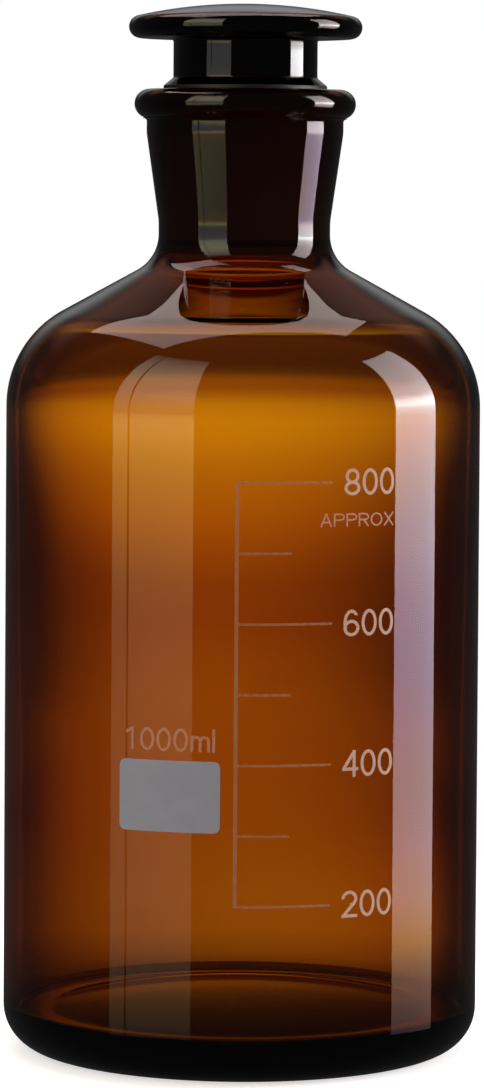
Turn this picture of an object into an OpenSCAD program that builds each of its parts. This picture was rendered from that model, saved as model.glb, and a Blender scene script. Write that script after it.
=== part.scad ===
// Reagent bottle of one litre in amber glass, with a ground-in glass stopper and a fired-on scale.
// Millimetres. The origin is the middle of the foot, +Z is up and the scale faces -Y.

/* [Body] */
// Outer diameter of the body
body_d = 100; // [86:1:125]
// Thickness of the wall
wall = 2.8; // [2:0.1:4]
// Straight wall that is left above the top line of the scale
wall_above_scale = 13.1; // [8:0.1:40]
// Outer radius of the heel
heel_round = 9.5; // [6:0.5:14]
// Thickness of the glass under the inside floor
base_thick = 7.6; // [5:0.1:10]
// Radius between the inside wall and the inside floor
inner_heel_round = 8; // [5:0.5:12]
// Diameter of the hollow under the base, inside the foot ring
push_up_d = 66; // [40:1:68]
// Rise of the base in its middle
push_up_h = 1.6; // [0.8:0.1:3]

/* [Shoulder] */
// Outer radius where the wall turns into the shoulder
shoulder_round = 22.8; // [16:0.2:26]
// Slope of the shoulder from the horizontal, in degrees
shoulder_slope = 28.9; // [20:0.1:40]
// Outer radius where the shoulder turns into the neck
neck_root_round = 8.6; // [5:0.1:12]

/* [Neck] */
// Glass round the small end of the ground socket
neck_wall = 2.6; // [1.8:0.05:3.5]
// Straight stretch at the root of the neck
neck_root_h = 2.8; // [1:0.1:5]
// Glass round the large end of the ground socket
band_wall = 3.5; // [2.5:0.05:4]
// Height of the straight band under the lip
band_h = 3.1; // [2:0.1:6]
// Reach of the lip beyond the large end of the socket
lip_reach = 6.1; // [5:0.05:7.5]
// Radius of the rounded lip
lip_round = 3.1; // [2.4:0.1:3.6]
// Chamfer round the mouth of the socket
mouth_chamfer = 0.4; // [0.2:0.1:0.8]

/* [Ground joint] */
// Diameter of the large end of the socket
joint_d = 34.5; // [32:0.1:38]
// Length of the ground joint
joint_len = 35; // [28:0.5:40]
// Length over which the joint's diameter grows by one
joint_taper = 10; // [9:0.5:14]
// Length of the socket that dips below the root of the neck
socket_dip = 4.4; // [2:0.05:6]
// Gap between the plug and its socket
joint_gap = 0.03; // [0.02:0.01:0.08]
// Distance from the plug's lower end up from the small end of the socket
plug_short = 0.8; // [0.4:0.1:2]

/* [Stopper] */
// Ground part of the plug that stands above the lip
plug_stand = 0.7; // [0.4:0.1:3]
// Height of the chamfer between the plug and the shank
plug_chamfer_h = 1.7; // [1:0.1:4]
// Diameter of the shank under the head
shank_d = 30.4; // [24:0.1:31]
// Length of the shank between the chamfer and the head
shank_h = 8.3; // [6:0.1:20]
// Fillet between the shank and the head
shank_fillet = 0.9; // [0.4:0.1:2]
// Diameter of the head
head_d = 49.2; // [42:0.2:60]
// Thickness of the head at its rounded edge
head_edge = 4.8; // [3:0.1:6]
// Height of the head in its middle
head_h = 7.3; // [6.5:0.1:12]
// Diameter of the hollow in the plug, at its open lower end
hollow_d = 23; // [14:0.5:24]
// Diameter of the hollow at its upper end
hollow_top_d = 19; // [10:0.5:20]
// Glass over the hollow, below the chamfer
hollow_cover = 3; // [1:0.5:8]

/* [Scale] */
// Thickness of the fired enamel
enamel = 0.12; // [0.05:0.01:0.2]
// Width of the upright line
upright_w = 0.75; // [0.4:0.05:1.2]
// Width of the level lines
line_w = 0.5; // [0.3:0.05:1]
// Place of the upright line round the body, from the front to the left
upright_at = -1.05; // [-6:0.05:1]
// Length of the numbered lines
long_line = 19.6; // [12:0.1:22]
// Length of the lines between them
short_line = 11; // [6:0.1:12]
// Height of the numbers
number_h = 5.45; // [3:0.1:7]
// Gap between a numbered line and its number
number_gap = 2.6; // [1:0.1:4]
// Height of the letters of the note under the top number
note_h = 2.7; // [1.5:0.05:4]
// Gap between the top number and the note under it
note_gap = 3.6; // [1:0.1:5]
// Width of the note's letters as a share of their plain width
note_stretch = 1.36; // [1:0.02:1.5]
// Width of the strokes as a share of the height of the letters
stroke_share = 0.12; // [0.07:0.005:0.14]

/* [Label] */
// Width of the writing patch, round the body
patch_w = 21.3; // [12:0.1:26]
// Height of the writing patch
patch_h = 14.5; // [8:0.1:20]
// Corner radius of the writing patch
patch_round = 1.3; // [0.5:0.1:3]
// Middle of the writing patch round the body, from the front to the left
patch_at = -14.9; // [-18:0.1:-14]
// Gap between the writing patch and the capacity over it
capacity_gap = 1.9; // [1:0.1:6]
// Height of the capacity's letters
capacity_h = 4.7; // [2.5:0.1:6]

/* [Hidden] */
$fn = 96;
amber = [0.45, 0.2, 0.05, 0.85];
dark_amber = [0.25, 0.1, 0.04, 0.95];
enamel_pink = [0.93, 0.8, 0.76];
enamel_grey = [0.66, 0.65, 0.67];

arc_step = 7.5;          // largest turn between two points of a rounded outline
small = 0.01;            // overlap that keeps a cut from ending on a face
ml = 1000;               // cubic millimetres in a millilitre
first_mark = 200;
last_mark = 800;
mark_step = 100;
numbered_every = 200;
patch_top_mark = 400;    // the patch hangs just under the level of this line
letter_gap_share = 0.1;  // space between letters, as a share of their height

body_r = body_d / 2;
print_reach = body_r / 4;   // depth that holds the body's curve behind the widest print
inner_r = body_r - wall;
floor_area = PI * inner_r * inner_r;
// Volume that the inside corner and the risen floor take from a plain round can
corner_loss = (1 - PI / 4) * inner_heel_round * inner_heel_round * 2 * PI * (inner_r - inner_heel_round / 4);
push_up_loss = PI * pow(push_up_d / 2, 2) * push_up_h / 2;
function level(volume) = base_thick + (volume * ml + corner_loss + push_up_loss) / floor_area;
straight_h = level(last_mark) + wall_above_scale;

function joint_r(below_lip) = joint_d / 2 - below_lip / joint_taper / 2;
neck_bore_r = joint_r(joint_len);
neck_r = neck_bore_r + neck_wall;
band_r = joint_d / 2 + band_wall;

// Points of an arc from one angle to another, on a centre
function arc(centre, r, from, to) = let(steps = max(1, ceil(abs(to - from) / arc_step)))
    [for (i = [0:steps]) let(a = from + (to - from) * i / steps) centre + r * [cos(a), sin(a)]];

// Height at which a shoulder of these radii, from the wall at wall_r, has turned into a neck of bore_r
function neck_start(wall_r, bore_r, big_round, small_round) =
    let(from_r = wall_r - big_round * (1 - sin(shoulder_slope)))
    let(to_r = bore_r + small_round * (1 - sin(shoulder_slope)))
    straight_h + (big_round + small_round) * cos(shoulder_slope) + (from_r - to_r) * tan(shoulder_slope);

// Outline of that shoulder, from the wall up to the neck
function shoulder(wall_r, bore_r, big_round, small_round) = concat(
    arc([wall_r - big_round, straight_h], big_round, 0, 90 - shoulder_slope),
    arc([bore_r + small_round, neck_start(wall_r, bore_r, big_round, small_round)], small_round,
        270 - shoulder_slope, 180));

neck_root_z = neck_start(body_r, neck_r, shoulder_round, neck_root_round);
mouth_z = neck_root_z + joint_len - socket_dip;
lip_centre_r = joint_d / 2 + lip_reach - lip_round;
band_top_z = mouth_z - 2 * lip_round;
cone_top_z = band_top_z - band_h;

// Radius of the ball that gives a base its rise over a foot ring
function cap_r(half_width, rise) = (half_width * half_width + rise * rise) / (2 * rise);
// Points of a shallow cap from its middle out to half_width, at height z at its edge
function cap(half_width, rise, z) = let(r = cap_r(half_width, rise), open = asin(half_width / r))
    arc([0, z + rise - r], r, 90, 90 - open);

module bottle_outside() {
    polygon(concat(
        cap(push_up_d / 2, push_up_h, 0),
        arc([body_r - heel_round, heel_round], heel_round, 270, 360),
        shoulder(body_r, neck_r, shoulder_round, neck_root_round),
        [[neck_r, neck_root_z + neck_root_h], [band_r, cone_top_z], [band_r, band_top_z]],
        arc([lip_centre_r, mouth_z - lip_round], lip_round, 270, 450),
        [[0, mouth_z]]));
}

module bottle_inside() {
    polygon(concat(
        cap(push_up_d / 2, push_up_h, base_thick),
        arc([inner_r - inner_heel_round, base_thick + inner_heel_round], inner_heel_round, 270, 360),
        shoulder(inner_r, neck_bore_r, shoulder_round - wall, neck_root_round + wall),
        [[neck_bore_r, mouth_z - small], [0, mouth_z - small]]));
}

module bottle() {
    color(amber)
    difference() {
        rotate_extrude() bottle_outside();
        rotate_extrude() bottle_inside();
        // Ground socket
        translate([0, 0, mouth_z - joint_len])
            cylinder(h = joint_len + small, r1 = neck_bore_r, r2 = joint_r(-small));
        translate([0, 0, mouth_z - mouth_chamfer])
            cylinder(h = mouth_chamfer + small, r1 = joint_r(mouth_chamfer),
                     r2 = joint_r(0) + mouth_chamfer + small);
    }
}

plug_low_z = mouth_z - joint_len + plug_short;
plug_top_z = mouth_z + plug_stand;
shank_z = plug_top_z + plug_chamfer_h;
head_z = shank_z + shank_h;
hollow_top_z = plug_top_z - hollow_cover;
edge_r = head_edge / 2;
edge_centre_r = head_d / 2 - edge_r;
// Ball that rounds the top of the head and runs smoothly into its edge
head_rise = head_h - edge_r;
head_ball_r = (pow(edge_centre_r, 2) + pow(head_rise, 2) - pow(edge_r, 2)) / (2 * (head_rise - edge_r));
head_open = asin(edge_centre_r / (head_ball_r - edge_r));

function plug_r(z) = joint_r(mouth_z - z) - joint_gap;

module stopper_outside() {
    polygon(concat(
        [[0, plug_low_z], [plug_r(plug_low_z) - mouth_chamfer, plug_low_z],
         [plug_r(plug_low_z), plug_low_z + mouth_chamfer], [plug_r(plug_top_z), plug_top_z],
         [shank_d / 2, shank_z]],
        arc([shank_d / 2 + shank_fillet, head_z - shank_fillet], shank_fillet, 180, 90),
        arc([edge_centre_r, head_z + edge_r], edge_r, 270, 450 - head_open),
        arc([0, head_z + head_h - head_ball_r], head_ball_r, 90 - head_open + arc_step / 4, 90)));
}

module stopper_hollow() {
    // Its upper end is a shallow dome
    top_r = hollow_top_d / 2;
    polygon(concat(
        [[0, plug_low_z - small], [hollow_d / 2, plug_low_z - small]],
        arc([0, hollow_top_z - top_r], top_r, 0, 90)));
}

module stopper() {
    color(dark_amber)
    difference() {
        rotate_extrude() stopper_outside();
        rotate_extrude() stopper_hollow();
    }
}

// Angle round the body of a place that is measured along its surface from the front
function around(along) = along / body_r * 180 / PI;

// Flat shapes laid on the body with their origin at a place round it and a height
module on_body(along, z) {
    intersection() {
        rotate([0, 0, around(along)]) translate([0, -body_r + print_reach, z]) rotate([90, 0, 0])
            linear_extrude(print_reach + 2 * enamel) children();
        rotate_extrude() translate([body_r, 0]) square([enamel, straight_h]);
    }
}

/* Letters: each stands on y = 0, is h high, w wide and starts at x = 0, with strokes of width s */

module oval(w, h) {
    polygon([for (a = [0:15:345]) [w / 2 * (1 + cos(a)), h / 2 * (1 + sin(a))]]);
}

module ring(w, h, s) {
    difference() {
        oval(w, h);
        translate([s, s]) oval(w - 2 * s, h - 2 * s);
    }
}

module stroke(from, to, s) {
    run = to - from;
    translate(from) rotate(atan2(run[1], run[0])) translate([0, -s / 2]) square([norm(run), s]);
}

module letter(name, w, h, s) {
    if (name == "0" || name == "O") ring(w, h, s);
    if (name == "1") {
        translate([w * 0.5, 0]) square([s, h]);
        stroke([w * 0.5 + s / 2, h - s / 2], [w * 0.12, h * 0.76], s);
    }
    if (name == "2") {
        square([w, s]);
        stroke([s * 0.6, s * 0.5], [w - s * 0.9, h * 0.56], s);
        intersection() {
            translate([0, h * 0.4]) ring(w, h * 0.6, s);
            translate([0, h * 0.5]) polygon([[0, h * 0.2], [w * 0.5, h * 0.2], [w * 0.5, 0], [w, 0],
                                             [w, h], [0, h]]);
        }
    }
    if (name == "4") {
        translate([0, h * 0.24]) square([w, s]);
        translate([w * 0.64, 0]) square([s, h]);
        stroke([s * 0.3, h * 0.24 + s * 0.5], [w * 0.64 + s * 0.5, h - s * 0.4], s);
    }
    if (name == "6") {
        ring(w, h * 0.62, s);
        intersection() {
            ring(w, h, s);
            polygon([[0, h * 0.3], [w * 0.5, h * 0.3], [w * 0.5, h * 0.78], [w, h * 0.78], [w, h], [0, h]]);
        }
    }
    if (name == "8") {
        ring(w, h * 0.55, s);
        translate([w * 0.07, h * 0.55 - s]) ring(w * 0.86, h * 0.45 + s, s);
    }
    if (name == "A") {
        stroke([s * 0.5, 0], [w * 0.5, h], s);
        stroke([w - s * 0.5, 0], [w * 0.5, h], s);
        translate([w * 0.2, h * 0.28]) square([w * 0.6, s]);
    }
    if (name == "P" || name == "R") {
        bowl = h * 0.56;
        square([s, h]);
        translate([0, h - s]) square([w * 0.55, s]);
        translate([0, h - bowl]) square([w * 0.55, s]);
        intersection() {
            translate([w * 0.1, h - bowl]) ring(w * 0.9, bowl, s);
            translate([w * 0.55, 0]) square([w, h]);
        }
        if (name == "R") stroke([w * 0.5, h * 0.5], [w - s * 0.5, 0], s);
    }
    if (name == "X") {
        stroke([s * 0.5, 0], [w - s * 0.5, h], s);
        stroke([w - s * 0.5, 0], [s * 0.5, h], s);
    }
    if (name == "m") {
        x_height = h * 0.7;
        arch_w = w / 2 + s / 2;
        square([s, x_height]);
        for (x = [0, w - arch_w]) {
            translate([x + arch_w - s, 0]) square([s, x_height - arch_w / 2]);
            intersection() {
                translate([x, x_height - arch_w]) ring(arch_w, arch_w, s);
                translate([x, x_height - arch_w / 2]) square([arch_w, arch_w]);
            }
        }
    }
    if (name == "l") square([s, h]);
}

function letter_w(name, h) = h * (name == "l" ? stroke_share : name == "m" ? 0.85
    : name == "O" ? 0.78 : name == "A" || name == "X" ? 0.7 : 0.66);
// Width of a row of words from its letter i on, with each letter widened by stretch
function words_w(words, h, stretch = 1, i = 0) = i == len(words) ? -h * letter_gap_share * stretch
    : (letter_w(words[i], h) + h * letter_gap_share) * stretch + words_w(words, h, stretch, i + 1);
function start_of(words, h, stretch, i) = i == 0 ? 0
    : start_of(words, h, stretch, i - 1) + (letter_w(words[i - 1], h) + h * letter_gap_share) * stretch;

// Letters in a row on the body, each turned to face outwards, from a place round it and a height
module row_of(words, h, along, z, stretch = 1) {
    for (i = [0:len(words) - 1]) {
        w = letter_w(words[i], h) * stretch;
        on_body(along + start_of(words, h, stretch, i) + w / 2, z)
            translate([-w / 2, 0]) letter(words[i], w, h, h * stroke_share);
    }
}

number_at = upright_at + long_line + number_gap;

module number(mark) {
    color(enamel_pink) row_of(str(mark), number_h, number_at, level(mark) - number_h / 2);
}

// Upright line with its level lines to the right, as one outline round x = 0, y = 0 at the lowest line
module comb() {
    half_line = line_w / 2;
    edge = upright_w / 2;
    height = level(last_mark) - level(first_mark);
    polygon(concat(
        [[-edge, height + half_line], [-edge, -half_line]],
        [for (mark = [first_mark:mark_step:last_mark])
            let(y = level(mark) - level(first_mark))
            let(end = mark % numbered_every == 0 ? long_line : short_line)
            each [[edge, y - half_line], [end, y - half_line], [end, y + half_line], [edge, y + half_line]]]));
}

module scale_lines() {
    middle = long_line / 2;
    color(enamel_pink) on_body(upright_at + middle, level(first_mark)) translate([-middle, 0]) comb();
}

note_words = "APPROX";

module approx_mark() {
    // It ends flush with the number over it
    end = number_at + words_w(str(last_mark), number_h);
    color(enamel_pink)
        row_of(note_words, note_h, end - words_w(note_words, note_h, note_stretch),
               level(last_mark) - number_h / 2 - note_gap - note_h, note_stretch);
}

patch_z = level(patch_top_mark) - patch_h / 2 + upright_w;
capacity_words = "1000ml";

module capacity_mark() {
    color(enamel_grey)
        row_of(capacity_words, capacity_h, patch_at - words_w(capacity_words, capacity_h) / 2,
               patch_z + patch_h / 2 + capacity_gap);
}

module label_patch() {
    color(enamel_grey) on_body(patch_at, patch_z) {
        inner_w = patch_w - 2 * patch_round;
        inner_h = patch_h - 2 * patch_round;
        square([inner_w, patch_h], center = true);
        square([patch_w, inner_h], center = true);
        for (x = [-1, 1], y = [-1, 1]) translate([x * inner_w / 2, y * inner_h / 2]) circle(patch_round);
    }
}

bottle();
stopper();
scale_lines();
number(200);  // number_200
number(400);  // number_400
number(600);  // number_600
number(800);  // number_800
approx_mark();
capacity_mark();
label_patch();
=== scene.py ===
import math
import bpy
import bmesh
from mathutils import Matrix, Vector


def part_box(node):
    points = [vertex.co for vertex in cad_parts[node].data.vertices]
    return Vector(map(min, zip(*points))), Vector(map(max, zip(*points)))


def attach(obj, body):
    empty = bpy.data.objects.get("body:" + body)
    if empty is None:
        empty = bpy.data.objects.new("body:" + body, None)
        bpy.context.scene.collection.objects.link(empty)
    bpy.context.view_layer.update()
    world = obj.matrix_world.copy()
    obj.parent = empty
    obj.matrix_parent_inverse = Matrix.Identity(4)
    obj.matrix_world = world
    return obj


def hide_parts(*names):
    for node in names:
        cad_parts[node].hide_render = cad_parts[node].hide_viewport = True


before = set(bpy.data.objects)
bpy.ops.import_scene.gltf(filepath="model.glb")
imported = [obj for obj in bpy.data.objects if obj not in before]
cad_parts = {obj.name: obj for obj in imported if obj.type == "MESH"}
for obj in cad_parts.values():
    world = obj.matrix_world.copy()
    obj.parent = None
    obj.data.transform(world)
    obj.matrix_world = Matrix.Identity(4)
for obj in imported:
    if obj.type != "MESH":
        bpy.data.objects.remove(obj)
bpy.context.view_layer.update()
mm = 0.001
mergeDistance = 0.002 * mm
print("frame loaded:", ", ".join(sorted(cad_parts)))

# What the pieces share, read from the frame, in millimetres
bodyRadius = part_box("bottle")[1].x / mm
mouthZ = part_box("bottle")[1].z / mm
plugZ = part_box("stopper")[0].z / mm
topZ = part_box("stopper")[1].z / mm
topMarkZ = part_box("scale_lines")[1].z / mm


class Wire:
    # An output socket. Python's operators on it add Math nodes.
    def __init__(self, graph, socket):
        self.graph = graph
        self.socket = socket

    def math(self, operation, *others):
        values = dict(enumerate((self,) + others))
        return self.graph.node("ShaderNodeMath", {"operation": operation}, values)

    def out(self, name):
        return Wire(self.graph, self.socket.node.outputs[name])

    def __add__(self, other):
        return self.math("ADD", other)

    def __sub__(self, other):
        return self.math("SUBTRACT", other)

    def __mul__(self, other):
        return self.math("MULTIPLY", other)

    def __truediv__(self, other):
        return self.math("DIVIDE", other)

    def __pow__(self, other):
        return self.math("POWER", other)

    def __neg__(self):
        return self * -1

    def __radd__(self, other):
        return self + other

    def __rsub__(self, other):
        return -self + other

    def __rmul__(self, other):
        return self * other

    def __rtruediv__(self, other):
        return self.graph.node("ShaderNodeMath", {"operation": "DIVIDE"}, {0: other, 1: self})


class Graph:
    # The nodes of one material or world
    def __init__(self, owner):
        owner.use_nodes = True
        self.tree = owner.node_tree
        self.tree.nodes.clear()

    def node(self, kind, settings={}, sockets={}):
        made = self.tree.nodes.new(kind)
        for name, value in settings.items():
            if name == "stops":
                self.setStops(made.color_ramp, value)
            else:
                setattr(made, name, value)
        for key, value in sockets.items():
            if isinstance(value, Wire):
                self.tree.links.new(value.socket, made.inputs[key])
            elif made.inputs[key].type == "RGBA":
                made.inputs[key].default_value = (*value, 1)
            else:
                made.inputs[key].default_value = value
        return Wire(self, made.outputs[0]) if made.outputs else None

    def setStops(self, ramp, stops):
        while len(ramp.elements) < len(stops):
            ramp.elements.new(0.5)
        for element, (place, colour) in zip(ramp.elements, stops):
            element.position = place
            element.color = (*colour, 1)

    def colourMix(self, factor, first, second):
        made = self.node("ShaderNodeMix", {"data_type": "RGBA"}, {0: factor, 6: first, 7: second})
        return Wire(self, made.socket.node.outputs[2])

    def scaled(self, colour, amount):
        return self.node("ShaderNodeVectorMath", {"operation": "SCALE"}, {0: colour, "Scale": amount})

    def ramp(self, value, points):
        # A ramp through the points (place, colour), from its first place to its last
        low, high = points[0][0], points[-1][0]
        stops = [((place - low) / (high - low), colour) for place, colour in points]
        share = self.node("ShaderNodeMapRange", {}, {0: value, 1: low, 2: high})
        return self.node("ShaderNodeValToRGB", {"stops": stops}, {0: share})

    def curve(self, value, points):
        # A value that runs through the points (place, height)
        most = max(height for place, height in points)
        return self.ramp(value, [(place, (height / most,) * 3) for place, height in points]) * most

    def colourCurve(self, value, points):
        # A colour that runs through the points, as a ramp no brighter than 1 and the factor left out of it
        most = max(max(colour) for place, colour in points)
        shares = [(place, tuple(part / most for part in colour)) for place, colour in points]
        return self.ramp(value, shares), most

    def step(self, value, low, high, first=0.0, last=1.0):
        return self.node("ShaderNodeMapRange", {"interpolation_type": "SMOOTHSTEP"},
                         {0: value, 1: low, 2: high, 3: first, 4: last})

    def place(self):
        # Object coordinates, in millimetres along x, y and z
        spot = self.node("ShaderNodeTexCoord").out("Object")
        parts = self.node("ShaderNodeSeparateXYZ", {}, {0: spot})
        return spot, parts.out("X") / mm, parts.out("Y") / mm, parts.out("Z") / mm

    def noise(self, spot, scale, detail=2.0):
        return self.node("ShaderNodeTexNoise", {}, {"Vector": spot, "Scale": scale, "Detail": detail})

    def below(self, value, limit, soft):
        # 1 below the limit, falling to 0 over the width soft
        return self.step(value, limit - soft / 2, limit + soft / 2, 1.0, 0.0)

    def within(self, value, low, high, soft):
        return self.step(value, low - soft / 2, low + soft / 2) * self.below(value, high, soft)

    def finishMaterial(self, surface, volume=None):
        sockets = {"Surface": surface}
        if volume:
            sockets["Volume"] = volume
        self.node("ShaderNodeOutputMaterial", {}, sockets)


# Outlines are lists of (radius, height) in millimetres
def onCircle(degrees):
    return Vector((math.cos(math.radians(degrees)), math.sin(math.radians(degrees))))


def arcPoints(centre, radius, start, end, step=4):
    steps = max(1, math.ceil(abs(end - start) / step))
    return [Vector(centre) + radius * onCircle(start + (end - start) * i / steps) for i in range(steps + 1)]


def runPoints(start, end, steps):
    # Points between two ends, without the ends
    return [Vector(start).lerp(Vector(end), i / steps) for i in range(1, steps)]


def roundCorner(before, corner, after, radius, steps=6):
    corner = Vector(corner)
    back = (Vector(before) - corner).normalized()
    ahead = (Vector(after) - corner).normalized()
    half = back.angle(ahead) / 2
    centre = corner + (back + ahead).normalized() * radius / math.sin(half)
    first = corner + back * radius / math.tan(half) - centre
    last = corner + ahead * radius / math.tan(half) - centre
    return [centre + first.lerp(last, i / steps).normalized() * radius for i in range(steps + 1)]


def capPoints(halfWidth, rise, z, steps=8):
    # A shallow cap, from its middle out to halfWidth
    radius = (halfWidth ** 2 + rise ** 2) / (2 * rise)
    openAngle = math.degrees(math.asin(halfWidth / radius))
    return arcPoints((0, z + rise - radius), radius, 90, 90 - openAngle, openAngle / steps)


def easedRamp(share, ease=0.15):
    # A straight ramp from 0 to 1 whose two ends are eased
    share = min(1, max(0, share))
    nearEnd = min(share, 1 - share)
    risen = (nearEnd ** 2 / (2 * ease) if nearEnd < ease else nearEnd - ease / 2) / (1 - ease)
    return risen if share < 0.5 else 1 - risen


def addMesh(bm, name, material):
    # Turns a bmesh into an object of the scene
    mesh = bpy.data.meshes.new(name)
    bm.to_mesh(mesh)
    bm.free()
    mesh.materials.append(material)
    made = bpy.data.objects.new(name, mesh)
    bpy.context.scene.collection.objects.link(made)
    return made


def spinOutline(name, outline, steps, material, body, node):
    # Turns an outline round the z axis into one closed smooth mesh that replaces a CAD node
    bm = bmesh.new()
    rim = [bm.verts.new((point[0] * mm, 0, point[1] * mm)) for point in outline]
    edges = [bm.edges.new(pair) for pair in zip(rim, rim[1:])]
    bmesh.ops.spin(bm, geom=rim + edges, cent=(0, 0, 0), axis=(0, 0, 1), angle=2 * math.pi, steps=steps,
                   use_merge=True)
    bmesh.ops.remove_doubles(bm, verts=bm.verts, dist=mergeDistance)
    bmesh.ops.recalc_face_normals(bm, faces=bm.faces)
    for face in bm.faces:
        face.smooth = True
    piece = addMesh(bm, name, material)
    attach(piece, body)
    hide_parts(node)
    print(name, "made,", len(piece.data.polygons), "faces")


glassLook = {
    "absorption": (141, 465, 1990),   # per metre of the bottle's glass, for red, green and blue
    "density": 2000,
    "stopperDensity": 3600,
    "groundRoughness": 0.42,
    # Painted shade on the ground faces: a dark tint on their clear glass and a near-black layer covering
    # them
    "groundShadeTint": (0.2, 0.19, 0.18),
    "groundCover": 0.99,
    "groundShadeMatt": (0.008, 0.006, 0.005),
    "mattRoughness": 0.5,
    "refraction": 1.5,
    "waveScale": 22.0,
    "waviness": 0.05,
    "grainScale": 2600.0,
    "grainHeight": 0.02,
    "smearScale": 60.0,
    "smearRoughness": 0.05,
    "bumpDistance": 0.001,
    "groundRadius": 17.6,   # outside the ground faces and inside the neck's outer face
    "groundEdge": 0.1,
    "socketEnd": 0.2,       # how far the ground band starts below the mouth and ends below the socket
    "socketFade": 0.5,
    "plugRimRadius": 11.2,  # the plug's flat end is ground from here outward
    "plugSideRadius": 15.25,  # higher up only its side is, and its hollow is clear
    "plugRimHeight": 1.0,
    "plugTop": 0.8,         # above the mouth
    "plugFade": 0.2,
}


def makeGlass(name, groundMask, density):
    # Amber glass; groundMask gives the places where it is ground matt. There it also gets painted shade: a
    # dark tint and a near-black layer over almost all of it
    look = glassLook
    material = bpy.data.materials.new(name)
    graph = Graph(material)
    spot, x, y, z = graph.place()
    ground = groundMask(graph, x, y, z)
    wave = graph.noise(spot, look["waveScale"], 1.0)
    grain = graph.noise(spot, look["grainScale"], 2.0)
    smear = graph.noise(spot, look["smearScale"], 4.0)
    height = wave * look["waviness"] + grain * ground * look["grainHeight"]
    bump = graph.node("ShaderNodeBump", {}, {
        "Height": height, "Distance": look["bumpDistance"], "Strength": 1.0})
    roughness = ground * look["groundRoughness"] + (smear ** 6) * look["smearRoughness"]
    # Painted shade: the ground faces are tinted dark and almost covered by a near-black layer
    colour = graph.colourMix(ground, (1, 1, 1), look["groundShadeTint"])
    clear = graph.node("ShaderNodeBsdfPrincipled", {}, {
        "Base Color": colour, "Roughness": roughness, "IOR": look["refraction"], "Transmission Weight": 1.0,
        "Normal": bump})
    matt = graph.node("ShaderNodeBsdfPrincipled", {}, {
        "Base Color": look["groundShadeMatt"], "Roughness": look["mattRoughness"], "IOR": look["refraction"],
        "Normal": bump})
    surface = graph.node("ShaderNodeMixShader", {}, {0: ground * look["groundCover"], 1: clear, 2: matt})
    keep = tuple(1 - share / look["density"] for share in look["absorption"])
    volume = graph.node("ShaderNodeVolumeAbsorption", {}, {"Color": keep, "Density": density})
    graph.finishMaterial(surface, volume)
    return material


def socketMask(graph, x, y, z):
    look = glassLook
    radius = (x * x + y * y) ** 0.5
    inBore = graph.below(radius, look["groundRadius"], look["groundEdge"])
    footZ = mouthZ - bottleShape["socketLength"]
    along = graph.within(z, footZ - look["socketEnd"], mouthZ - look["socketEnd"], look["socketFade"])
    return inBore * along


def plugMask(graph, x, y, z):
    look = glassLook
    radius = (x * x + y * y) ** 0.5
    rimTop = plugZ + look["plugRimHeight"]
    onSide = graph.step(z, rimTop - look["plugFade"] / 2, rimTop + look["plugFade"] / 2)
    inner = look["plugRimRadius"] + onSide * (look["plugSideRadius"] - look["plugRimRadius"])
    outside = graph.within(radius, inner, look["groundRadius"], look["groundEdge"])
    return outside * graph.below(z, mouthZ + look["plugTop"], look["plugFade"])


bottleShape = {
    "heelRound": 9.5,
    "pushUpRadius": 33,
    "pushUpHeight": 1.6,
    "floorZ": 9.0,
    "floorRise": 4.03,
    "domeRadius": 40,
    "innerHeelRound": 1.4,
    "wallAboveScale": 12.85,
    "wallThick": 2.7,
    "wallThin": 1.75,
    "wallTaperFoot": 52,
    "shoulderBulge": 2.1,
    "bulgeFrom": 41,
    "bulgeRun": 20,
    "shoulderRound": 22.8,
    "shoulderSlope": 28.9,
    "neckRootRound": 8.6,
    "neckRootHeight": 2.8,
    "neckRadius": 18.1,
    "coneFootRound": 12,
    "coneHeadRound": 8,
    "bandRadius": 20.75,
    "bandHeight": 3.1,
    "bandInLip": 0.1,
    "bandCorner": 0.7,
    "lipCentre": 20.25,
    "lipRound": 3.1,
    "lipFrom": 292,   # degrees round the lip's section, where it leaves the band
    "underLip": (3, -0.3),
    "mouthRound": 0.4,
    "socketTop": 17.25,
    "socketBottom": 15.5,
    "socketLength": 35,
    "steps": 160,
}


def shoulderPoints(wallRadius, neckRadius, bigRound, smallRound, straightZ):
    # From the wall up to the neck, and the height where the neck begins
    slope = math.radians(bottleShape["shoulderSlope"])
    fromRadius = wallRadius - bigRound * (1 - math.sin(slope))
    toRadius = neckRadius + smallRound * (1 - math.sin(slope))
    rise = (bigRound + smallRound) * math.cos(slope) + (fromRadius - toRadius) * math.tan(slope)
    neckZ = straightZ + rise
    low = arcPoints((wallRadius - bigRound, straightZ), bigRound, 0, 90 - bottleShape["shoulderSlope"], 3)
    high = arcPoints((neckRadius + smallRound, neckZ), smallRound, 270 - bottleShape["shoulderSlope"], 180)
    return low + runPoints(low[-1], high[0], steps=4) + high, neckZ


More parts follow.
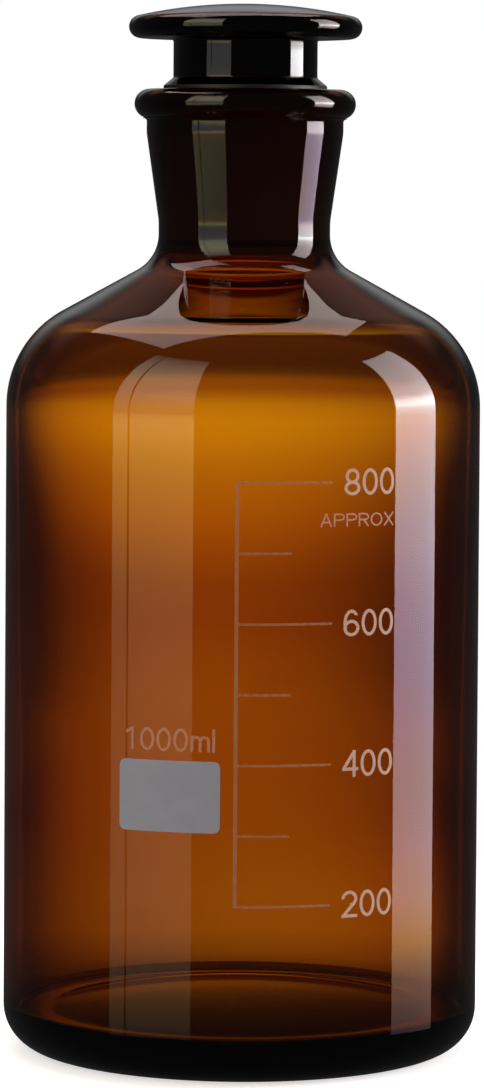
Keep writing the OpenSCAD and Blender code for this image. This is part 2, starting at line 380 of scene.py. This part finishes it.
def makeBottle(material):
    shape = bottleShape
    straightZ = topMarkZ + shape["wallAboveScale"]
    outline = capPoints(shape["pushUpRadius"], shape["pushUpHeight"], 0)
    heelCentre = (bodyRadius - shape["heelRound"], shape["heelRound"])
    outline += arcPoints(heelCentre, shape["heelRound"], 270, 360, 5)
    outline += runPoints((bodyRadius, shape["heelRound"]), (bodyRadius, straightZ), steps=40)
    outer, neckZ = shoulderPoints(bodyRadius, shape["neckRadius"], shape["shoulderRound"],
                                  shape["neckRootRound"], straightZ)
    outline += outer
    lipLow = mouthZ - 2 * shape["lipRound"]
    coneFoot = (shape["neckRadius"], neckZ + shape["neckRootHeight"])
    coneHead = (shape["bandRadius"], lipLow - shape["bandHeight"])
    bandTop = Vector((shape["bandRadius"], lipLow + shape["bandInLip"]))
    foot = roundCorner(outer[-1], coneFoot, coneHead, shape["coneFootRound"], steps=3)
    head = roundCorner(coneFoot, coneHead, bandTop, shape["coneHeadRound"], steps=3)
    outline += foot + runPoints(foot[-1], head[0], steps=8) + head
    outline += roundCorner(coneHead, bandTop, bandTop + Vector(shape["underLip"]), shape["bandCorner"])
    lipCentre = (shape["lipCentre"], mouthZ - shape["lipRound"])
    outline += arcPoints(lipCentre, shape["lipRound"], shape["lipFrom"], 450, 8)
    mouth = (shape["socketTop"], mouthZ)
    socketFoot = (shape["socketBottom"], mouthZ - shape["socketLength"])
    outline += roundCorner((shape["lipCentre"], mouthZ), mouth, socketFoot, shape["mouthRound"], steps=4)
    outline += runPoints(mouth, socketFoot, steps=10)
    inner = shoulderPoints(bodyRadius - shape["wallThin"], shape["socketBottom"],
                           shape["shoulderRound"] - shape["wallThin"],
                           shape["neckRootRound"] + shape["neckRadius"] - shape["socketBottom"],
                           straightZ)[0]
    for point in inner:
        point.y -= shape["shoulderBulge"] * easedRamp((shape["bulgeFrom"] - point.x) / shape["bulgeRun"])
    outline += [Vector(socketFoot)] + inner[::-1][:-1]
    outline += innerWall(straightZ)
    dome = capPoints(shape["domeRadius"], shape["floorRise"], shape["floorZ"], steps=24)[::-1]
    outline += runPoints(outline[-1], dome[0], steps=10) + dome
    spinOutline("amber_bottle", outline, shape["steps"], material, "bottle", "bottle")


def innerWall(straightZ, steps=50):
    # Blown glass: thin under the shoulder and thicker further down
    shape = bottleShape
    points = []
    footZ = shape["floorZ"] + shape["innerHeelRound"]
    for i in range(steps + 1):
        z = straightZ + (footZ - straightZ) * i / steps
        share = easedRamp((z - shape["wallTaperFoot"]) / (straightZ - shape["wallTaperFoot"]))
        wall = shape["wallThick"] + (shape["wallThin"] - shape["wallThick"]) * share
        points.append(Vector((bodyRadius - wall, z)))
    centre = (bodyRadius - shape["wallThick"] - shape["innerHeelRound"], footZ)
    return points + arcPoints(centre, shape["innerHeelRound"], 360, 270, 5)[1:]


stopperShape = {
    "stand": 0.7,
    "chamferHeight": 1.7,
    "shankRadius": 15.2,
    "shankHeight": 8.3,
    "shankFillet": 0.9,
    "headRadius": 24.6,
    "headEdge": 4.8,
    "hollowRadius": 11.5,
    "hollowTopRadius": 9.5,
    "hollowCover": 3,
    "hollowRound": 0.6,
    "gap": 0.03,
    "lowEdge": 0.4,
    "plugHeadRound": 0.35,
    "shankFootRound": 0.5,
    "steps": 128,
}


def plugRadiusAt(z):
    # The socket's cone, less the gap
    taper = (bottleShape["socketTop"] - bottleShape["socketBottom"]) / bottleShape["socketLength"]
    return bottleShape["socketTop"] - (mouthZ - z) * taper - stopperShape["gap"]


def makeStopper(material):
    shape = stopperShape
    plugTopZ = mouthZ + shape["stand"]
    shankZ = plugTopZ + shape["chamferHeight"]
    headZ = shankZ + shape["shankHeight"]
    hollowTop = shape["hollowTopRadius"]
    outline = arcPoints((0, plugTopZ - shape["hollowCover"] - hollowTop), hollowTop, 90, 0, 5)
    hollowFoot = (shape["hollowRadius"], plugZ)
    outline += runPoints(outline[-1], hollowFoot, steps=5)
    lowEnd = (plugRadiusAt(plugZ), plugZ)
    plugHead = (plugRadiusAt(plugTopZ), plugTopZ)
    outline += roundCorner(outline[-1], hollowFoot, lowEnd, shape["hollowRound"], steps=4)
    outline += roundCorner(hollowFoot, lowEnd, plugHead, shape["lowEdge"], steps=4)
    outline += runPoints(lowEnd, plugHead, steps=10)
    shankFoot = (shape["shankRadius"], shankZ)
    outline += roundCorner(lowEnd, plugHead, shankFoot, shape["plugHeadRound"], steps=3)
    shankHead = (shape["shankRadius"], headZ - shape["shankFillet"])
    outline += roundCorner(plugHead, shankFoot, shankHead, shape["shankFootRound"], steps=4)
    outline += runPoints(shankFoot, shankHead, steps=4)
    outline += arcPoints((shape["shankRadius"] + shape["shankFillet"], headZ - shape["shankFillet"]),
                         shape["shankFillet"], 180, 90, 15)
    # The head's round edge runs smoothly into the ball-shaped top
    edge = shape["headEdge"] / 2
    edgeCentre = shape["headRadius"] - edge
    rise = topZ - headZ - edge
    ball = (edgeCentre ** 2 + rise ** 2 - edge ** 2) / (2 * (rise - edge))
    openAngle = math.degrees(math.asin(edgeCentre / (ball - edge)))
    outline += runPoints(outline[-1], (edgeCentre, headZ), steps=3)
    outline += arcPoints((edgeCentre, headZ + edge), edge, 270, 450 - openAngle, 8)
    outline += arcPoints((0, topZ - ball), ball, 90 - openAngle, 90, 1)[1:]
    spinOutline("amber_stopper", outline, shape["steps"], material, "stopper", "stopper")


# Colour, share of the glass that it covers, and unevenness of that share. The prints are white enamel; their
# colours hold painted shade, darkened and tinted for the dim light each stood in
shadedPrintLook = {
    "line": ((0.46, 0.2, 0.09), 0.42, 0.2),
    "number": ((0.61, 0.4, 0.31), 0.6, 0.2),
    "note": ((0.6, 0.29, 0.2), 0.5, 0.2),
    "capacity": ((0.66, 0.31, 0.21), 0.42, 0.2),
    # Painted shade: the label patch is white enamel given a shaded grey
    "patch": ((0.28, 0.282, 0.35), 0.92, 0.08),
}
enamelLook = {
    "cloudScale": 260.0,
    "paler": 1.12,
    "speckScale": 3200.0,
    "speckHeight": 0.00003,
    "speckStrength": 0.6,
    "roughness": 0.45,
    "roughnessSpread": 0.15,
    "refraction": 1.5,
}


def makeEnamel(name, colour, cover, unevenness):
    # Fired enamel: slightly uneven, with the glass showing through where it is thin. Its colour comes with
    # painted shade already in it
    look = enamelLook
    material = bpy.data.materials.new(name)
    graph = Graph(material)
    spot, x, y, z = graph.place()
    cloud = graph.noise(spot, look["cloudScale"], 3.0)
    speck = graph.noise(spot, look["speckScale"], 1.0)
    tone = graph.colourMix(cloud, colour, tuple(share * look["paler"] for share in colour))
    bump = graph.node("ShaderNodeBump", {}, {
        "Height": speck, "Distance": look["speckHeight"], "Strength": look["speckStrength"]})
    surface = graph.node("ShaderNodeBsdfPrincipled", {}, {
        "Base Color": tone, "Roughness": look["roughness"] + look["roughnessSpread"] * cloud,
        "IOR": look["refraction"], "Alpha": (cloud - 0.5) * unevenness + cover, "Normal": bump})
    graph.finishMaterial(surface)
    return material


def paintNode(name, material):
    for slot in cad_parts[name].material_slots:
        slot.material = material


bottleGlass = makeGlass("amber_glass", socketMask, glassLook["density"])
stopperGlass = makeGlass("stopper_glass", plugMask, glassLook["stopperDensity"])
makeBottle(bottleGlass)
makeStopper(stopperGlass)

# Each kind of print gets its own shaded copy of the white enamel: painted shade
enamels = {kind: makeEnamel(kind + "_enamel", *look) for kind, look in shadedPrintLook.items()}
paintNode("scale_lines", enamels["line"])
for volume in (200, 400, 600, 800):
    paintNode("number_%d" % volume, enamels["number"])
paintNode("approx_mark", enamels["note"])
paintNode("capacity_mark", enamels["capacity"])
paintNode("label_patch", enamels["patch"])
print("prints painted")


panelValues = {
    # The wall panels stand on a drum of this radius; their ends are degrees round it from the camera's side
    "distance": 1.2,
    "steps": 12,
    "right": {"from": 77, "to": 104.5, "low": -0.24, "high": 1.29},
    "leftNear": {"from": -55, "to": -23, "low": -0.24, "high": 1.8},
    "leftFar": {"from": -64, "to": -56, "low": -0.24, "high": 1.8},
    # Each glow gives the colour of the light at heights in metres
    "rightGlow": [(-0.24, (0.5, 0.3, 0.35)), (-0.19, (1.2, 0.75, 0.65)), (-0.176, (2.3, 1.3, 0.9)),
                  (-0.167, (2.75, 1.85, 1.05)), (-0.158, (4.15, 2.6, 1.1)), (-0.14, (4.9, 3.45, 2.7)),
                  (-0.114, (5.05, 3.55, 3.7)), (-0.087, (4.8, 3.5, 3.6)), (-0.06, (4.65, 3.4, 4.2)),
                  (-0.033, (4.75, 3.6, 4.85)), (-0.0065, (5.45, 4, 5.05)), (0.0204, (6.35, 5.05, 5.9)),
                  (0.047, (6.65, 5.75, 5.95)), (0.065, (7.6, 6.25, 6.65)), (0.09, (9, 7.3, 7.2)),
                  (0.2, (12, 11.4, 12)), (0.24, (18, 18, 18)), (0.3, (16, 15, 15)), (0.39, (9, 8, 8)),
                  (0.63, (6.5, 5.3, 5.2)), (1.26, (3.8, 3.6, 3.7))],
    "leftGlow": [(-0.24, (0.15, 0.12, 0.1)), (-0.18, (0.5, 0.4, 0.25)), (-0.131, (0.68, 0.63, 0.42)),
                 (-0.07, (0.9, 0.75, 0.36)), (-0.018, (1.1, 0.8, 0.44)), (0.03, (1.75, 1.45, 0.45)),
                 (0.058, (1.9, 1.8, 0.5)), (0.08, (2.2, 2.2, 1.1)), (0.15, (0.65, 0.63, 0.63)),
                 (0.3, (0.9, 0.88, 0.88)), (0.5, (2.3, 2.2, 1.6)), (0.9, (2.8, 2.5, 1.5)),
                 (1.3, (2, 1.7, 1.3)), (1.8, (0.5, 0.45, 0.4))],
    "overheadGlow": (2.35, 1.85, 1.7),
    "overheadHeight": 1.3,
    # Its corners, x and y in metres: near left, near right, far left and far right
    "overheadCorners": [(-0.62, -0.25), (0.62, 0.25), (-0.95, 0.9), (0.57, 0.95)],
}


def makeGlow(name, glow):
    # A panel's light, which changes with height
    material = bpy.data.materials.new(name)
    graph = Graph(material)
    spot, x, y, z = graph.place()
    shade, most = graph.colourCurve(z * mm, glow)
    graph.finishMaterial(graph.node("ShaderNodeEmission", {}, {"Color": shade, "Strength": most}))
    return material


def addPanel(bm, name, glow):
    # Only reflections show a panel
    panel = addMesh(bm, name, makeGlow(name, glow))
    panel.visible_camera = False
    panel.visible_shadow = False
    panel.visible_transmission = False


def makeWallPanel(name, values, glow):
    # A stretch of a wide upright drum round the bottle
    bm = bmesh.new()
    start = math.radians(values["from"])
    foot = (panelValues["distance"] * math.sin(start), -panelValues["distance"] * math.cos(start))
    low = bm.verts.new((*foot, values["low"]))
    high = bm.verts.new((*foot, values["high"]))
    bmesh.ops.spin(bm, geom=[low, high, bm.edges.new((low, high))], cent=(0, 0, 0), axis=(0, 0, 1),
                   angle=math.radians(values["to"] - values["from"]), steps=panelValues["steps"])
    addPanel(bm, name, glow)


def cornerPlace(vert):
    # Sorts a square's corners by y and then by x
    return 2 * vert.co.y + vert.co.x


def makeOverheadPanel(corners, height, glow):
    bm = bmesh.new()
    bmesh.ops.create_grid(bm, x_segments=1, y_segments=1, size=1)
    bm.verts.sort(key=cornerPlace)
    for vert, corner in zip(bm.verts, corners):
        vert.co = (*corner, height)
    addPanel(bm, "overhead_panel", [(0.0, glow), (height, glow)])


makeWallPanel("right_panel", panelValues["right"], panelValues["rightGlow"])
makeWallPanel("left_near_panel", panelValues["leftNear"], panelValues["leftGlow"])
makeWallPanel("left_far_panel", panelValues["leftFar"], panelValues["leftGlow"])
makeOverheadPanel(panelValues["overheadCorners"], panelValues["overheadHeight"], panelValues["overheadGlow"])
print("panels placed")


worldLook = {
    # Light for matt surfaces
    "ambient": (0.5, 0.5, 0.5),
    # Light that the glass lets through, by the degrees above the horizon it comes from
    "around": [(-90, 0.1), (-20, 0.1), (-10, 0.3), (0, 0.5), (20, 0.6), (90, 0.7)],
    # The same for the lit patch of background straight behind the bottle
    "behind": [(-75, (0.3, 0.3, 0.3)), (-62, (0.03, 0.03, 0.03)), (-15, (0.03, 0.03, 0.03)),
               (-9.8, (0.06, 0.07, 0.07)), (-9.5, (0.25, 0.3, 0.3)), (-9.25, (0.4, 0.5, 0.5)),
               (-9, (0.6, 0.8, 0.8)), (-8.7, (0.65, 0.87, 0.87)), (-8.3, (0.6, 0.76, 0.76)),
               (-7.65, (0.57, 0.6, 0.6)), (-7, (0.58, 0.52, 0.52)), (-6.5, (0.51, 0.39, 0.39)),
               (-6.1, (0.44, 0.27, 0.27)), (-5.7, (0.43, 0.26, 0.26)), (-5.35, (0.53, 0.34, 0.34)),
               (-4.9, (0.7, 0.52, 0.52)), (-4.35, (0.79, 0.71, 0.71)), (-3.6, (1.0, 1.02, 1.0)),
               (-3.1, (1.04, 1.1, 1.0)), (-2.6, (0.77, 0.75, 0.75)), (-2.2, (0.48, 0.31, 0.31)),
               (-1.6, (0.42, 0.3, 0.3)), (-1.3, (0.26, 0.2, 0.2)), (-1.12, (0.1, 0.06, 0.06)),
               (-0.5, (0.08, 0.04, 0.04)), (4.3, (0.14, 0.09, 0.09)), (6.3, (0.55, 0.8, 0.8)),
               (8.5, (0.66, 0.92, 0.9)), (12.3, (0.43, 0.6, 0.6)), (17, (0.3, 0.43, 0.43)),
               (25, (0.1, 0.15, 0.15)), (30, (0.03, 0.03, 0.03))],
    # Where that patch has its middle, in degrees round the bottle, and how wide it is
    "patchMiddle": [(-12, 3.5), (-8.8, 3.5), (-8.2, 2.8), (-7.6, 1.5), (-3, 1), (10, 1)],
    "patchShift": -2,
    "patchWidth": [(-40, 6), (-9.4, 6), (-9, 8), (-8.2, 7.5), (-7.6, 6.6), (-7.3, 5.2), (-6.8, 4.15),
                   (-6.1, 3.95), (-5.4, 4.15), (-5, 4.75), (-4.4, 5.8), (-3.3, 7), (10, 7)],
    # What is left of the patch far to its sides, and how that differs between left and right
    "patchEdge": [(-9.5, 0.2), (-8, 0.17), (-7.4, 0.1), (-6, 0.08), (-3, 0.06)],
    "edgeLeft": 1.1,
    "edgeRight": 0.4,
    "edgeRun": (-8, 8),
    # Degrees to either side from where the patch gives way to the light around it; nearer below the horizon
    "screenFrom": 58,
    "screenLowFrom": 20,
    "screenRise": (-13, -11),
    "screenRun": 16,
    # What the glass reflects beside the panels: little, more from straight behind, a warm veil above that
    "mirrored": 0.035,
    "mirroredBehind": 0.5,
    "behindRise": (4, 20),
    "behindDepth": (0.8, 0.98),
    "veil": (0.4, 0.18, 0.135),
    "veilRise": (22, 34),
    "veilDepth": (0.5, 0.7),
}


def makeWorld():
    look = worldLook
    world = bpy.data.worlds.new("studio")
    bpy.context.scene.world = world
    graph = Graph(world)
    heading = graph.node("ShaderNodeTexCoord").out("Generated")
    parts = graph.node("ShaderNodeSeparateXYZ", {}, {0: heading})
    elevation = parts.out("Z").math("ARCSINE") * (180 / math.pi)
    azimuth = parts.out("X").math("ARCTAN2", parts.out("Y")) * (180 / math.pi)
    around = graph.curve(elevation, look["around"])
    shade, most = graph.colourCurve(elevation, look["behind"])
    width = graph.curve(elevation, look["patchWidth"])
    middle = graph.curve(elevation, look["patchMiddle"]) + look["patchShift"]
    edge = graph.curve(elevation, look["patchEdge"])
    edge = edge * graph.step(azimuth, *look["edgeRun"], look["edgeLeft"], look["edgeRight"])
    lobe = (-(((azimuth - middle) / width) ** 2)).math("EXPONENT")
    patch = (edge + (1 - edge) * lobe) * most
    screen = graph.step(elevation, *look["screenRise"], look["screenLowFrom"], look["screenFrom"])
    aside = graph.step(azimuth.math("ABSOLUTE"), screen, screen + look["screenRun"])
    through = graph.colourMix(aside, graph.scaled(shade, patch), graph.scaled((1, 1, 1), around))
    depth = parts.out("Y")
    behind = graph.step(elevation, *look["behindRise"]) * graph.step(depth, *look["behindDepth"])
    above = graph.step(elevation, *look["veilRise"]) * graph.step(depth, *look["veilDepth"])
    plain = graph.scaled((1, 1, 1), look["mirrored"] + look["mirroredBehind"] * behind)
    mirrored = graph.colourMix(above, plain, look["veil"])
    path = graph.node("ShaderNodeLightPath")
    light = graph.colourMix(path.out("Is Glossy Ray"), look["ambient"], mirrored)
    colour = graph.colourMix(path.out("Is Transmission Ray"), light, through)
    colour = graph.colourMix(path.out("Is Camera Ray"), colour, (1, 1, 1))
    back = graph.node("ShaderNodeBackground", {}, {"Color": colour, "Strength": 1.0})
    graph.node("ShaderNodeOutputWorld", {}, {"Surface": back})


makeWorld()


floorLook = {
    "half": 3.0,
    "gap": 0.00005,         # below the foot
    "glow": 0.62,
    "paint": 0.8,
    "shadowRadius": 0.16,   # the floor takes shadows out to here
    "fadeRadius": 0.3,      # and is plain white from here
}


def makeFloor():
    bm = bmesh.new()
    bmesh.ops.create_grid(bm, x_segments=1, y_segments=1, size=floorLook["half"],
                          matrix=Matrix.Translation((0, 0, -floorLook["gap"])))
    material = bpy.data.materials.new("floor")
    graph = Graph(material)
    spot, x, y, z = graph.place()
    radius = (x * x + y * y) ** 0.5 * mm
    fade = graph.step(radius, floorLook["shadowRadius"], floorLook["fadeRadius"])
    paint = graph.node("ShaderNodeBsdfDiffuse", {}, {"Color": (floorLook["paint"],) * 3})
    base = graph.node("ShaderNodeEmission", {}, {"Color": (1, 1, 1), "Strength": floorLook["glow"]})
    near = graph.node("ShaderNodeAddShader", {}, {0: paint, 1: base})
    far = graph.node("ShaderNodeEmission", {}, {"Color": (1, 1, 1), "Strength": 1.0})
    above = graph.node("ShaderNodeMixShader", {}, {0: fade, 1: near, 2: far})
    # Clear from below, so that the foot can be seen through it
    below = graph.node("ShaderNodeBsdfTransparent")
    underneath = graph.node("ShaderNodeNewGeometry").out("Backfacing")
    graph.finishMaterial(graph.node("ShaderNodeMixShader", {}, {0: underneath, 1: above, 2: below}))
    floor = addMesh(bm, "floor", material)
    floor.visible_glossy = False
    floor.visible_transmission = False
    floor.visible_diffuse = False


makeFloor()
print("world and floor made")


cameraValues = {
    "place": (-0.00035, -1.0206, 0.1855),
    "tilt": 88.0,
    "roll": 0.38,
    "lens": 159.99,
    "sensor": 36,
    "shift": -0.1876,
    "nearest": 0.01,
    "bounces": 24,
    "transparentBounces": 16,
}


def makeCamera():
    values = cameraValues
    camera = bpy.data.objects.new("camera", bpy.data.cameras.new("camera"))
    camera.data.lens = values["lens"]
    camera.data.sensor_width = values["sensor"]
    camera.data.shift_y = values["shift"]
    camera.data.clip_start = values["nearest"]
    camera.matrix_world = (Matrix.Translation(values["place"])
                           @ Matrix.Rotation(math.radians(values["tilt"]), 4, "X")
                           @ Matrix.Rotation(math.radians(values["roll"]), 4, "Z"))
    bpy.context.scene.collection.objects.link(camera)
    bpy.context.scene.camera = camera


makeCamera()
scene = bpy.context.scene
scene.view_settings.view_transform = "Standard"
scene.cycles.max_bounces = cameraValues["bounces"]
scene.cycles.transmission_bounces = cameraValues["bounces"]
scene.cycles.transparent_max_bounces = cameraValues["transparentBounces"]
print("camera set")
